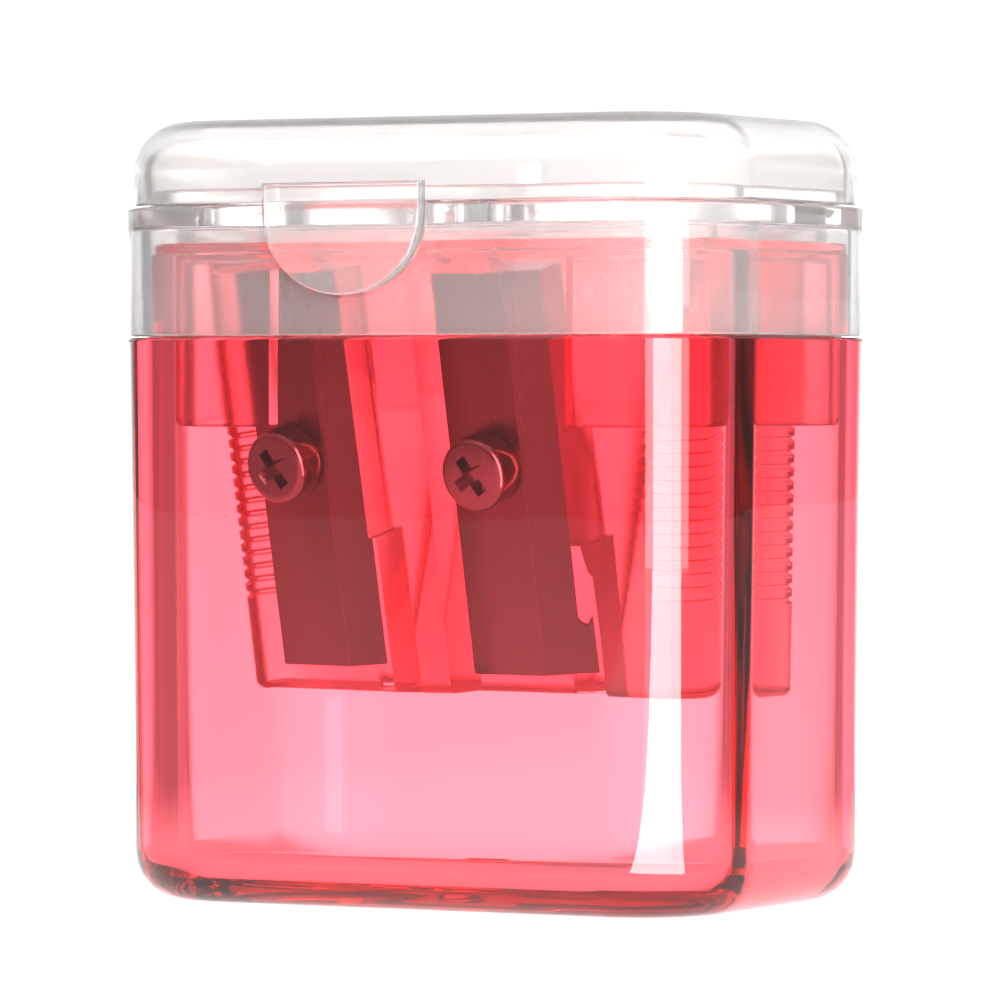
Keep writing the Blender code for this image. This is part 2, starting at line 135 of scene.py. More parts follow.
# Collar.
SKIRT_BOTTOM_Z = 32.55
SKIRT_INSET = 1.3
COLLAR_TOP_Z = 40.0
COLLAR_UNDERSIDE_Z = 38.85
LIP_BOTTOM_Z = 37.95
LIP_HOLLOW_INSET = 3.8
SPIGOT_TOP_Z = 41.0
SPIGOT_INSET = 1.45
SPIGOT_HOLLOW_INSET = 2.35

# Lid.
LID_BOTTOM_Z = 40.1
LID_TOP_Z = 45.0
LID_INSET = 0.35
LID_WALL = 1.0
LID_FILLET = 3.0
TONGUE_X = -2.5
TONGUE_HALF = 5.1
TONGUE_TOP_Z = 41.2
TONGUE_BOTTOM_Z = 34.8
TONGUE_OUTER_Y = -14.0
TONGUE_INNER_Y = -13.2
TONGUE_ROUND = 4.7
TONGUE_GAP = 0.15
TONGUE_ROOT_Y = -12.5
STOP_RIB = (-4.2, -2.8, 11.4, 12.5, 41.8, 43.1)

# Hinge.
HINGE_Y = 14.4
HINGE_Z = 40.1
BARREL_RADIUS = 1.1
BARREL_HALF = 5.0
BARREL_RELIEF = 0.2
WEB_ROOT_Y = 12.5
TRUNNION_RADIUS = 0.6
TRUNNION_HALF = 7.4
SOCKET_RADIUS = 0.68
EAR_GAP = 0.15
EAR_WIDTH = 2.5
EAR_BOTTOM_Z = 38.2
EAR_TOP_Z = 39.9

# Camera and lights, in metres and degrees.
VIEW_AZIMUTH = math.radians(28.0)
VIEW_PITCH = math.radians(0.84)
VIEW_DISTANCE = 0.395
VIEW_TARGET_ACROSS = 0.0003
VIEW_TARGET_HEIGHT = 0.0231
VIEW_LENS = 245.2
SOFTBOX_AZIMUTH = math.radians(50.0)
SOFTBOX_DISTANCE = 0.55
SOFTBOXES = (((0.36, 0.70), 4.5), ((0.22, 0.70), 8.5))
GLOW_RADIANCE = 12.0
GLOW_REACH = (0.03, 0.55)
GLOW_SPREAD = math.radians(12.0)
# Brightness against the cosine of the bearing from the line of sight.
SKY_STOPS = ((-1.0, 0.28), (0.0, 0.28), (0.76, 0.28), (0.955, 3.0))
FLOOR_STOPS = ((-1.0, 0.28), (0.0, 0.28), (0.76, 0.30), (0.955, 2.9))
# Brightness of the strip of floor along the line of sight, against distance from its middle in metres.
FLOOR_STRIP = ((0.034, 1.08), (0.075, 0.0))
# Brightness against the sine of the elevation: a limit behind the lid, and the ceiling's own light.
SKY_LIMIT = ((0.012, 3.0), (0.048, 1.02))
CEILING = ((0.12, 0.0), (0.5, 0.9))


# ---------------------------------------------------------------- mesh tools

def rounded_outline(left, right, front, back, corner):
    """Points of a rounded rectangle, anticlockwise from its front right corner."""
    points = []
    centres = ((right - corner, front + corner, -90.0), (right - corner, back - corner, 0.0),
               (left + corner, back - corner, 90.0), (left + corner, front + corner, 180.0))
    for centre_x, centre_y, start in centres:
        for step in range(ARC_STEPS + 1):
            angle = math.radians(start + 90.0 * step / ARC_STEPS)
            points.append((centre_x + corner * math.cos(angle), centre_y + corner * math.sin(angle)))
    return points


def inset_ring(inset, z):
    """The shared outline moved in by inset, at height z."""
    corner = max(CORNER - inset, 0.3)
    outline = rounded_outline(inset - WIDTH / 2, WIDTH / 2 - inset, inset - DEPTH / 2, DEPTH / 2 - inset,
                              corner)
    return [(x, y, z) for x, y in outline]


def disc_ring(radius, z):
    """A round ring with as many points as the shared outline."""
    half = radius + 0.005
    return [(x, y, z) for x, y in rounded_outline(-half, half, -half, half, radius)]


def fillet_path(corners):
    """Round the corners of a path of (across, z, radius) into points of (across, z)."""
    path = [Vector(corners[0][:2])]
    for index in range(1, len(corners) - 1):
        here = Vector(corners[index][:2])
        radius = corners[index][2]
        before = (Vector(corners[index - 1][:2]) - here).normalized()
        after = (Vector(corners[index + 1][:2]) - here).normalized()
        if radius <= 0.0:
            path.append(here)
            continue
        half = before.angle(after) / 2
        reach = radius / math.tan(half)
        centre = here + (before + after).normalized() * (radius / math.sin(half))
        start = here + before * reach - centre
        end = here + after * reach - centre
        swing = start.angle_signed(end)
        for step in range(FILLET_STEPS + 1):
            angle = -swing * step / FILLET_STEPS
            turned = Vector((start.x * math.cos(angle) - start.y * math.sin(angle),
                             start.x * math.sin(angle) + start.y * math.cos(angle)))
            path.append(centre + turned)
    path.append(Vector(corners[-1][:2]))
    return path


def add_loft(bm, rings):
    """Skin a list of rings and cap both ends."""
    made = [[bm.verts.new(point) for point in ring] for ring in rings]
    count = len(made[0])
    for low, high in zip(made[:-1], made[1:]):
        for index in range(count):
            following = (index + 1) % count
            bm.faces.new((low[index], low[following], high[following], high[index]))
    bm.faces.new(made[0][::-1])
    bm.faces.new(made[-1])


def finish_mesh(name, bm, sharp=40.0):
    bmesh.ops.remove_doubles(bm, verts=bm.verts, dist=0.0005)
    bmesh.ops.recalc_face_normals(bm, faces=bm.faces)
    bmesh.ops.scale(bm, vec=(MM, MM, MM), verts=bm.verts)
    mesh = bpy.data.meshes.new(name)
    bm.to_mesh(mesh)
    bm.free()
    mesh.shade_smooth()
    mesh.set_sharp_from_angle(angle=math.radians(sharp))
    item = bpy.data.objects.new(name, mesh)
    bpy.context.scene.collection.objects.link(item)
    return item


def lofted(name, rings, sharp=40.0):
    bm = bmesh.new()
    add_loft(bm, rings)
    return finish_mesh(name, bm, sharp)


def box_solid(name, left, right, front, back, low, high, bevel=0.0):
    """A block with softened edges."""
    bm = bmesh.new()
    bmesh.ops.create_cube(bm, size=1.0)
    bmesh.ops.scale(bm, vec=(right - left, back - front, high - low), verts=bm.verts)
    bmesh.ops.translate(bm, vec=((left + right) / 2, (front + back) / 2, (low + high) / 2), verts=bm.verts)
    if bevel > 0.0:
        bmesh.ops.bevel(bm, geom=list(bm.edges), offset=bevel, offset_type="OFFSET", segments=3,
                        profile=0.5, affect="EDGES")
    return finish_mesh(name, bm)


def turned_solid(name, profile, sharp=40.0):
    """Turn (radius, height) points about Z, with both ends on the axis."""
    bm = bmesh.new()
    rings = []
    for radius, height in profile:
        ring = [bm.verts.new((radius * math.cos(2 * math.pi * k / ROUND_SIDES),
                              radius * math.sin(2 * math.pi * k / ROUND_SIDES), height))
                for k in range(ROUND_SIDES)]
        rings.append(ring)
    for low, high in zip(rings[:-1], rings[1:]):
        for k in range(ROUND_SIDES):
            following = (k + 1) % ROUND_SIDES
            bm.faces.new((low[k], low[following], high[following], high[k]))
    bm.faces.new(rings[0][::-1])
    bm.faces.new(rings[-1])
    return finish_mesh(name, bm, sharp)


def cylinder(name, radius, low, high, chamfer=0.0):
    """A round bar along Z with chamfered ends."""
    profile = [(radius, low), (radius, high)]
    if chamfer > 0.0:
        profile = [(radius - chamfer, low), (radius, low + chamfer), (radius, high - chamfer),
                   (radius - chamfer, high)]
    return turned_solid(name, profile)


def on_hinge_axis(item):
    item.matrix_world = (Matrix.Translation((0.0, HINGE_Y * MM, HINGE_Z * MM))
                         @ Matrix.Rotation(math.radians(90.0), 4, "Y"))
    return item


def apply_boolean(target, other, operation):
    """Join or cut with another solid, apply the result and remove that solid."""
    step = target.modifiers.new("boolean", "BOOLEAN")
    step.operation = operation
    step.solver = "EXACT"
    step.object = other
    bpy.context.view_layer.update()
    graph = bpy.context.evaluated_depsgraph_get()
    result = bpy.data.meshes.new_from_object(target.evaluated_get(graph))
    old = target.data
    target.modifiers.clear()
    target.data = result
    result.name = target.name
    bpy.data.meshes.remove(old)
    bpy.data.objects.remove(other, do_unlink=True)
    target.data.shade_smooth()
    target.data.set_sharp_from_angle(angle=math.radians(30.0))


def cut(target, other):
    apply_boolean(target, other, "DIFFERENCE")


def join(target, other):
    apply_boolean(target, other, "UNION")


# ---------------------------------------------------------------- materials

def new_material(name):
    made = bpy.data.materials.new(name)
    made.use_nodes = True
    nodes = made.node_tree.nodes
    return made, nodes, made.node_tree.links, nodes["Principled BSDF"]


def add_waviness(nodes, links, shader, scale, strength, stretch=(1.0, 1.0, 1.0)):
    """Faint unevenness of a moulded or ground surface."""
    place = nodes.new("ShaderNodeTexCoord")
    mapping = nodes.new("ShaderNodeMapping")
    mapping.inputs["Scale"].default_value = stretch
    noise = nodes.new("ShaderNodeTexNoise")
    noise.inputs["Scale"].default_value = scale
    noise.inputs["Detail"].default_value = 3.0
    bump = nodes.new("ShaderNodeBump")
    bump.inputs["Strength"].default_value = strength
    bump.inputs["Distance"].default_value = 0.0002
    links.new(place.outputs["Object"], mapping.inputs["Vector"])
    links.new(mapping.outputs["Vector"], noise.inputs["Vector"])
    links.new(noise.outputs["Fac"], bump.inputs["Height"])
    links.new(bump.outputs["Normal"], shader.inputs["Normal"])
    return noise


def vary(nodes, links, noise, low, high, socket):
    """Drive a socket between two values with a noise."""
    spread = nodes.new("ShaderNodeMapRange")
    spread.inputs["From Min"].default_value = 0.3
    spread.inputs["From Max"].default_value = 0.7
    spread.inputs["To Min"].default_value = low
    spread.inputs["To Max"].default_value = high
    links.new(noise.outputs["Fac"], spread.inputs["Value"])
    links.new(spread.outputs["Result"], socket)


def clear_moulding(name, tint, absorption, density, transmission, roughness, ior=1.5):
    """Injection-moulded see-through plastic: clear surface, coloured through its thickness."""
    made, nodes, links, shader = new_material(name)
    shader.inputs["Base Color"].default_value = (*tint, 1.0)
    shader.inputs["IOR"].default_value = ior
    shader.inputs["Transmission Weight"].default_value = transmission
    noise = add_waviness(nodes, links, shader, 90.0, 0.05)
    vary(nodes, links, noise, roughness * 0.6, roughness * 1.4, shader.inputs["Roughness"])
    volume = nodes.new("ShaderNodeVolumeAbsorption")
    volume.inputs["Color"].default_value = (*absorption, 1.0)
    volume.inputs["Density"].default_value = density
    links.new(volume.outputs["Volume"], nodes["Material Output"].inputs["Volume"])
    return made


def ground_steel(name, colour, roughness, scale, stretch, strength, bevel=None):
    """Steel with fine grinding marks along one direction, and maybe painted shade on the bevel to its right:
    a darker copy of the steel colour.
    """
    made, nodes, links, shader = new_material(name)
    shader.inputs["Metallic"].default_value = 1.0
    noise = add_waviness(nodes, links, shader, scale, strength, stretch)
    vary(nodes, links, noise, roughness * 0.7, roughness * 1.3, shader.inputs["Roughness"])
    ramp = nodes.new("ShaderNodeValToRGB")
    ramp.color_ramp.elements[0].position = 0.3
    ramp.color_ramp.elements[0].color = (*[value * 0.9 for value in colour], 1.0)
    ramp.color_ramp.elements[1].position = 0.7
    ramp.color_ramp.elements[1].color = (*colour, 1.0)
    links.new(noise.outputs["Fac"], ramp.inputs["Fac"])
    if bevel is None:
        links.new(ramp.outputs["Color"], shader.inputs["Base Color"])
        return made
    # Painted shade: past the bevel line, the base colour switches to the darker bevel colour.
    place = nodes.new("ShaderNodeTexCoord")
    split = nodes.new("ShaderNodeSeparateXYZ")
    beyond = nodes.new("ShaderNodeMath")
    beyond.operation = "GREATER_THAN"
    beyond.inputs[1].default_value = (BLADE_OVERHANG - BLADE_BEVEL) * MM
    painted_bevel_shade = nodes.new("ShaderNodeMix")
    painted_bevel_shade.data_type = "RGBA"
    painted_bevel_shade.inputs[7].default_value = (*bevel, 1.0)
    links.new(place.outputs["Object"], split.inputs["Vector"])
    links.new(split.outputs["X"], beyond.inputs[0])
    links.new(beyond.outputs["Value"], painted_bevel_shade.inputs["Factor"])
    links.new(ramp.outputs["Color"], painted_bevel_shade.inputs[6])
    links.new(painted_bevel_shade.outputs[2], shader.inputs["Base Color"])
    return made


# ---------------------------------------------------------------- receptacle

def make_receptacle():
    outer = fillet_path([(MIDDLE, 0.0, 0.0), (WALL_DRAFT, 0.0, BASE_FILLET), (0.0, SHOULDER_Z, 0.25),
                         (NECK_INSET, SHOULDER_Z, 0.2), (NECK_INSET, NECK_RIM_Z, 0.2),
                         (MOUTH_INSET, NECK_RIM_Z, 0.2), (MOUTH_INSET + CAVITY_DRAFT, FLOOR_Z, CAVITY_FILLET),
                         (MIDDLE, FLOOR_Z, 0.0)])
    rings = [inset_ring(across, z) for across, z in outer[1:-1]]
    rings.insert(0, inset_ring(CAP_INSET, 0.0))
    rings.append(inset_ring(CAP_INSET, FLOOR_Z))
    rings.append(disc_ring(GATE_RADIUS + 0.4, FLOOR_Z))
    rings.append(disc_ring(GATE_RADIUS + 0.1, FLOOR_Z + 0.08))
    rings.append(disc_ring(GATE_RADIUS, GATE_TOP_Z - 0.12))
    rings.append(disc_ring(GATE_RADIUS - 0.15, GATE_TOP_Z))
    return lofted("receptacle_shell", rings)


# ---------------------------------------------------------------- insert

def block_bounds(z):
    rise = z - BLOCK_BOTTOM_Z
    half = BLOCK_HALF_WIDTH - BLOCK_DRAFT * (1.0 - rise / (INSERT_TOP_Z - BLOCK_BOTTOM_Z))
    return half, BLOCK_FOOT_FRONT - rise * math.tan(CONE_ANGLE), BLOCK_BACK


def block_ring(z, inset, groove):
    """The block's outline at z, with its rounded ends moved in by groove."""
    half, front, back = block_bounds(z)
    corner = BLOCK_CORNER - inset
    points = rounded_outline(inset - half, half - inset, front + inset, back - inset, corner)
    ring = []
    for x, y in points:
        beyond = abs(x) - (half - BLOCK_CORNER)
        share = min(max(beyond / (BLOCK_CORNER * 0.35), 0.0), 1.0)
        side = math.copysign(1.0, x)
        centre_y = min(max(y, front + BLOCK_CORNER), back - BLOCK_CORNER)
        away = Vector((max(beyond, 0.0) * side, y - centre_y))
        if away.length > 0.0:
            away.normalize()
        ring.append((x - away.x * groove * share, y - away.y * groove * share, z))
    return ring


def block_solid():
    top = DECK_Z + OVERLAP
    rings = [block_ring(BLOCK_BOTTOM_Z, 0.35, 0.0), block_ring(BLOCK_BOTTOM_Z + 0.08, 0.15, 0.0),
             block_ring(BLOCK_BOTTOM_Z + 0.3, 0.0, 0.0)]
    for index in range(GROOVE_COUNT):
        low = GROOVES_LOW_Z + index * GROOVE_PITCH
        for rise, share in ((0.0, 0.0), (0.07, 0.75), (0.13, 1.0)):
            rings.append(block_ring(low + rise, 0.0, GROOVE_DEPTH * share))
        for rise, share in ((0.13, 1.0), (0.07, 0.75), (0.0, 0.0)):
            rings.append(block_ring(low + GROOVE_WIDTH - rise, 0.0, GROOVE_DEPTH * share))
    rings.append(block_ring(top, 0.0, 0.0))
    return lofted("block", rings)


def cone_radius(z):
    return TIP_RADIUS + (z - TIP_Z) * math.tan(CONE_ANGLE)


def blade_frame(kind):
    """The seat's own frame: the origin on the line where the cone touches the blade."""
    hole = HOLES[kind]
    yaw = math.radians(hole["yaw"])
    outward = Vector((math.sin(yaw), -math.cos(yaw), 0.0))
    foot = Vector((hole["x"], BORE_Y, hole["blade_z"])) + outward * cone_radius(hole["blade_z"])
    return Matrix.Translation(foot * MM) @ Euler((CONE_ANGLE, 0.0, yaw)).to_matrix().to_4x4()


def screw_frame(kind):
    """The screw's own frame: +Z out along the shank, the origin on the seat."""
    across = Matrix.Translation((SCREW_X * MM, 0.0, 0.0))
    return blade_frame(kind) @ across @ Matrix.Rotation(math.radians(90.0), 4, "X")


def seat_cutters(kind):
    """The blade's pocket, the shaving slot beside its edge and the slot's wider foot."""
    right = BLADE_OVERHANG + SLOT_WIDTH
    low = -BLADE_LENGTH / 2 - SEAT_END_GAP
    left = BLADE_OVERHANG - BLADE_WIDTH - SEAT_SIDE_GAP
    seat = box_solid("seat", left, right, -SEAT_REACH, 0.0, low, BLADE_LENGTH / 2 + SEAT_SIDE_GAP)
    slot = box_solid("slot", -SLOT_UNDERCUT, right - GAP, -SEAT_REACH - GAP, SLOT_DEPTH, low + 2 * GAP,
                     BLADE_LENGTH / 2)
    flare = box_solid("flare", 0.0, right + SLOT_FLARE, -SEAT_REACH + GAP, SLOT_DEPTH + GAP, low + GAP,
                      SLOT_FLARE_TOP)
    for cutter in (seat, slot, flare):
        cutter.matrix_world = blade_frame(kind)
    hole = cylinder("screw_hole", SHANK_RADIUS + GAP, -SHANK_BITE - RIM_DEPTH, OVERRUN)
    hole.matrix_world = screw_frame(kind)
    return seat, slot, flare, hole


def bore_cutter(kind):
    hole = HOLES[kind]
    bore = hole["bore"]
    cone_top = TIP_Z + (bore - TIP_RADIUS) / math.tan(CONE_ANGLE)
    rim = INSERT_TOP_Z
    cutter = turned_solid("bore", [(TIP_RADIUS, BLOCK_BOTTOM_Z - OVERRUN), (TIP_RADIUS, TIP_Z),
                                   (bore, cone_top), (bore, rim - RIM_DEPTH), (bore + RIM_FLARE, rim + GAP),
                                   (bore + RIM_FLARE, rim + OVERRUN)])
    cutter.location = (hole["x"] * MM, BORE_Y * MM, 0.0)
    return cutter


def make_insert():
    profile = fillet_path([(MIDDLE, DECK_Z, 0.0), (PLUG_HOLLOW_INSET, DECK_Z, 0.35),
                           (PLUG_HOLLOW_INSET, PLUG_BOTTOM_Z, 0.2), (PLUG_INSET, PLUG_BOTTOM_Z, 0.25),
                           (PLUG_INSET, FLANGE_Z, 0.15), (FLANGE_INSET, FLANGE_Z, 0.12),
                           (FLANGE_INSET, INSERT_TOP_Z, 0.18), (MIDDLE, INSERT_TOP_Z, 0.0)])
    rings = [inset_ring(across, z) for across, z in profile[1:-1]]
    insert = lofted("insert_moulding", rings)
    cut(insert, box_solid("window", WINDOW_LEFT, WINDOW_RIGHT, -DEPTH, WINDOW_BACK,
                          PLUG_BOTTOM_Z - OVERRUN, DECK_Z))
    block = block_solid()
    for kind in HOLES:
        for cutter in seat_cutters(kind):
            cut(block, cutter)
    join(insert, block)
    for kind in HOLES:
        cut(insert, bore_cutter(kind))
    return insert


# ---------------------------------------------------------------- blades and screws

def make_blade(kind):
    """A flat blade, ground along its right edge, with softened corners and a screw hole."""
    right = BLADE_OVERHANG
    left = right - BLADE_WIDTH
    face = -GAP - BLADE_THICKNESS
    soft = 0.06
    section = [(left + soft, -GAP), (left, -GAP - soft), (left, face + soft), (left + soft, face),
               (right - BLADE_BEVEL - 0.1, face), (right - BLADE_BEVEL + 0.1, face + 0.04),
               (right, -GAP - 0.03), (right, -GAP)]
    end = BLADE_LENGTH / 2
    bm = bmesh.new()
    rings = []
    middle = Vector(((left + right) / 2, face / 2))
    for z, shrink in ((-end, 0.985), (-end + soft, 1.0), (end - soft, 1.0), (end, 0.985)):
        rings.append([(middle.x + (x - middle.x) * shrink, middle.y + (y - middle.y) * shrink, z)
                      for x, y in section])
    add_loft(bm, rings)
    blade = finish_mesh(f"blade_{kind}_ground", bm, 6.0)
    blade.matrix_world = blade_frame(kind)
    hole = cylinder("blade_hole", SHANK_RADIUS + 0.25, -1.0, 3.0)
    hole.matrix_world = screw_frame(kind)
    cut(blade, hole)
    blade.data.set_sharp_from_angle(angle=math.radians(6.0))
    return blade


def recess_arm(name, span, width, top, depth, turn):
    """One tapered bar of the cross recess."""
    bm = bmesh.new()
    bmesh.ops.create_cube(bm, size=1.0)
    for vert in bm.verts:
        share = 1.0 if vert.co.z > 0 else 0.55
        vert.co.x *= span * share
        vert.co.y *= width * (1.0 if vert.co.z > 0 else 0.8)
        vert.co.z = top + 0.3 if vert.co.z > 0 else top - depth
    item = finish_mesh(name, bm)
    item.matrix_world = turn
    return item


def make_screw(kind):
    """A flat-topped screw with a rounded rim, a cross recess and a threaded shank."""
    seat = 2 * GAP + BLADE_THICKNESS
    top = seat + HEAD_HEIGHT
    root = SHANK_RADIUS * 0.8
    crest = SHANK_RADIUS - 0.01
    profile = [(0.02, -SHANK_BITE), (SHANK_RADIUS * 0.5, -SHANK_BITE + 0.05)]
    low = -SHANK_BITE + THREAD_PITCH
    while low + THREAD_PITCH < seat:
        profile += [(root, low), (crest, low + THREAD_PITCH * 0.42), (crest, low + THREAD_PITCH * 0.55)]
        low += THREAD_PITCH
    profile += [(root, seat - 0.02), (HEAD_RADIUS - 0.1, seat), (HEAD_RADIUS, seat + 0.1)]
    for step in range(9):
        angle = math.radians(90.0 * step / 8)
        profile.append((HEAD_RADIUS - HEAD_EDGE * (1 - math.cos(angle)),
                        top - 0.03 - HEAD_EDGE * (1 - math.sin(angle))))
    profile.append((0.02, top))
    screw = turned_solid(f"screw_{kind}_flat_head", profile, 35.0)
    screw.matrix_world = screw_frame(kind)
    turn = screw_frame(kind) @ Matrix.Rotation(RECESS_TURN, 4, "Z")
    quarter = turn @ Matrix.Rotation(math.radians(90.0), 4, "Z")
    cut(screw, recess_arm("recess_a", RECESS_SPAN, RECESS_WIDTH, top, RECESS_DEPTH, turn))
    cut(screw, recess_arm("recess_b", RECESS_SPAN, RECESS_WIDTH, top, RECESS_DEPTH, quarter))
    return screw


# ---------------------------------------------------------------- collar and lid

def tongue_plate(name, front, back, grow, bevel):
    """A plate that hangs from the lid: square top corners and a half-oval lower end."""
    half = TONGUE_HALF + grow
    shoulder = TONGUE_BOTTOM_Z + TONGUE_ROUND
    bm = bmesh.new()
    outline = [(TONGUE_X + half, TONGUE_TOP_Z + grow), (TONGUE_X - half, TONGUE_TOP_Z + grow)]
    for step in range(TONGUE_STEPS + 1):
        angle = math.pi + math.pi * step / TONGUE_STEPS
        outline.append((TONGUE_X + half * math.cos(angle),
                        shoulder + (TONGUE_ROUND + grow) * math.sin(angle)))
    face = bm.faces.new([bm.verts.new((x, back, z)) for x, z in outline])
    grown = bmesh.ops.extrude_face_region(bm, geom=[face])["geom"]
    moved = [item for item in grown if isinstance(item, bmesh.types.BMVert)]
    bmesh.ops.translate(bm, vec=(0.0, front - back, 0.0), verts=moved)
    if bevel > 0.0:
        rim = [edge for edge in bm.edges if all(abs(vert.co.y - front) < 1e-5 for vert in edge.verts)]
        bmesh.ops.bevel(bm, geom=rim, offset=bevel, offset_type="OFFSET", segments=4, profile=0.5,
                        affect="EDGES")
    return finish_mesh(name, bm)


def make_collar():
    profile = fillet_path([
        (MIDDLE, COLLAR_UNDERSIDE_Z, 0.0), (LIP_HOLLOW_INSET, COLLAR_UNDERSIDE_Z, 0.2),
        (LIP_HOLLOW_INSET, LIP_BOTTOM_Z, 0.15), (PLUG_INSET, LIP_BOTTOM_Z, 0.15),
        (PLUG_INSET, COLLAR_UNDERSIDE_Z, 0.2), (SKIRT_INSET, COLLAR_UNDERSIDE_Z, 0.3),
        (SKIRT_INSET, SKIRT_BOTTOM_Z, 0.15), (0.0, SKIRT_BOTTOM_Z, 0.15), (0.0, COLLAR_TOP_Z, 0.25),
        (SPIGOT_INSET, COLLAR_TOP_Z, 0.15), (SPIGOT_INSET, SPIGOT_TOP_Z, 0.2),
        (SPIGOT_HOLLOW_INSET, SPIGOT_TOP_Z, 0.2), (SPIGOT_HOLLOW_INSET, COLLAR_TOP_Z, 0.2),
        (MIDDLE, COLLAR_TOP_Z, 0.0)])
    rings = [inset_ring(across, z) for across, z in profile[1:-1]]
    collar = lofted("collar_moulding", rings)
    relief = cylinder("relief", BARREL_RADIUS + BARREL_RELIEF, -BARREL_HALF - EAR_GAP, BARREL_HALF + EAR_GAP)
    cut(collar, on_hinge_axis(relief))
    for side in (-1, 1):
        near = side * (BARREL_HALF + EAR_GAP)
        low, high = sorted((near, near + side * EAR_WIDTH))
        ear = box_solid("ear", low, high, DEPTH / 2 - 0.6, HINGE_Y + BARREL_RADIUS, EAR_BOTTOM_Z, EAR_TOP_Z,
                        0.12)
        join(ear, on_hinge_axis(cylinder("knuckle", BARREL_RADIUS, low, high, 0.12)))
        join(collar, ear)
        cut(collar, on_hinge_axis(cylinder("socket", SOCKET_RADIUS, low - 0.5, high + 0.5)))
    cut(collar, tongue_plate("tongue_relief", TONGUE_OUTER_Y, TONGUE_INNER_Y + TONGUE_GAP, TONGUE_GAP, 0.0))
    for hole in HOLES.values():
        radius = hole["collar_hole"]
        mouth = turned_solid("mouth", [(radius, LIP_BOTTOM_Z - OVERRUN), (radius, COLLAR_TOP_Z - RIM_DEPTH),
                                       (radius + RIM_FLARE, COLLAR_TOP_Z + GAP),
                                       (radius + RIM_FLARE, SPIGOT_TOP_Z + 2 * OVERRUN)])
        mouth.location = (hole["x"] * MM, BORE_Y * MM, 0.0)
        cut(collar, mouth)
    return collar


def make_lid():
    inner = LID_INSET + LID_WALL
    ceiling = LID_TOP_Z - LID_WALL
    profile = fillet_path([(MIDDLE, ceiling, 0.0), (inner, ceiling, LID_FILLET - LID_WALL),
                           (inner, LID_BOTTOM_Z, 0.15), (LID_INSET, LID_BOTTOM_Z, 0.15),
                           (LID_INSET, LID_TOP_Z, LID_FILLET), (MIDDLE, LID_TOP_Z, 0.0)])
    rings = [inset_ring(across, z) for across, z in profile[1:-1]]
    lid = lofted("lid_dome", rings)
    left = TONGUE_X - TONGUE_HALF
    right = TONGUE_X + TONGUE_HALF
    join(lid, box_solid("tongue_root", left + GAP, right - GAP, TONGUE_OUTER_Y + 0.2, TONGUE_ROOT_Y,
                        LID_BOTTOM_Z + GAP, TONGUE_TOP_Z - GAP, 0.1))
    join(lid, tongue_plate("tongue", TONGUE_OUTER_Y, TONGUE_INNER_Y, 0.0, 0.18))
    join(lid, box_solid("stop_rib", *STOP_RIB, 0.3))
    join(lid, box_solid("hinge_web", -BARREL_HALF + GAP, BARREL_HALF - GAP, WEB_ROOT_Y, HINGE_Y,
                        LID_BOTTOM_Z + GAP, HINGE_Z + BARREL_RADIUS - GAP, 0.1))
    join(lid, on_hinge_axis(cylinder("barrel", BARREL_RADIUS, -BARREL_HALF, BARREL_HALF, 0.12)))
    join(lid, on_hinge_axis(cylinder("trunnions", TRUNNION_RADIUS, -TRUNNION_HALF, TRUNNION_HALF, 0.1)))
    return lid


# ---------------------------------------------------------------- studio

def add_softbox(name, azimuth, height, size, radiance, distance):
    """A rectangular light that faces the object."""
    data = bpy.data.lights.new(name, "AREA")
    data.shape = "RECTANGLE"
    data.size, data.size_y = size
    data.energy = radiance * math.pi * size[0] * size[1]
    lamp = bpy.data.objects.new(name, data)
    bpy.context.scene.collection.objects.link(lamp)
    lamp.location = (distance * math.sin(azimuth), -distance * math.cos(azimuth), height)
    toward = Vector((0.0, 0.0, VIEW_TARGET_HEIGHT)) - lamp.location
    lamp.rotation_euler = toward.to_track_quat("-Z", "Y").to_euler()
    return lamp


def ramp_value(tree, source, near, far):
    """A smooth step between two (position, brightness) stops."""
    spread = tree.nodes.new("ShaderNodeMapRange")
    spread.interpolation_type = "SMOOTHSTEP"
    for name, value in zip(("From Min", "To Min", "From Max", "To Max"), (*near, *far)):
        spread.inputs[name].default_value = value
    tree.links.new(source, spread.inputs["Value"])
    return spread.outputs["Result"]


def math_value(tree, operation, first, second):
    step = tree.nodes.new("ShaderNodeMath")
    step.operation = operation
    tree.links.new(first, step.inputs[0])
    tree.links.new(second, step.inputs[1])
    return step.outputs["Value"]


def brightness_by_bearing(tree, direction, stops):
    """A value that follows stops by the bearing of a direction from the line of sight."""
    level = tree.nodes.new("ShaderNodeVectorMath")
    level.operation = "MULTIPLY"
    level.inputs[1].default_value = (1.0, 1.0, 0.0)
    unit = tree.nodes.new("ShaderNodeVectorMath")
    unit.operation = "NORMALIZE"
    along = tree.nodes.new("ShaderNodeVectorMath")
    along.operation = "DOT_PRODUCT"
    along.inputs[1].default_value = (-math.sin(VIEW_AZIMUTH), math.cos(VIEW_AZIMUTH), 0.0)
    tree.links.new(direction, level.inputs[0])
    tree.links.new(level.outputs["Vector"], unit.inputs[0])
    tree.links.new(unit.outputs["Vector"], along.inputs[0])
    total = ramp_value(tree, along.outputs["Value"], stops[0], stops[1])
    for near, far in zip(stops[1:-1], stops[2:]):
        rise = ramp_value(tree, along.outputs["Value"], (near[0], 0.0), (far[0], far[1] - near[1]))
        total = math_value(tree, "ADD", total, rise)
    return total


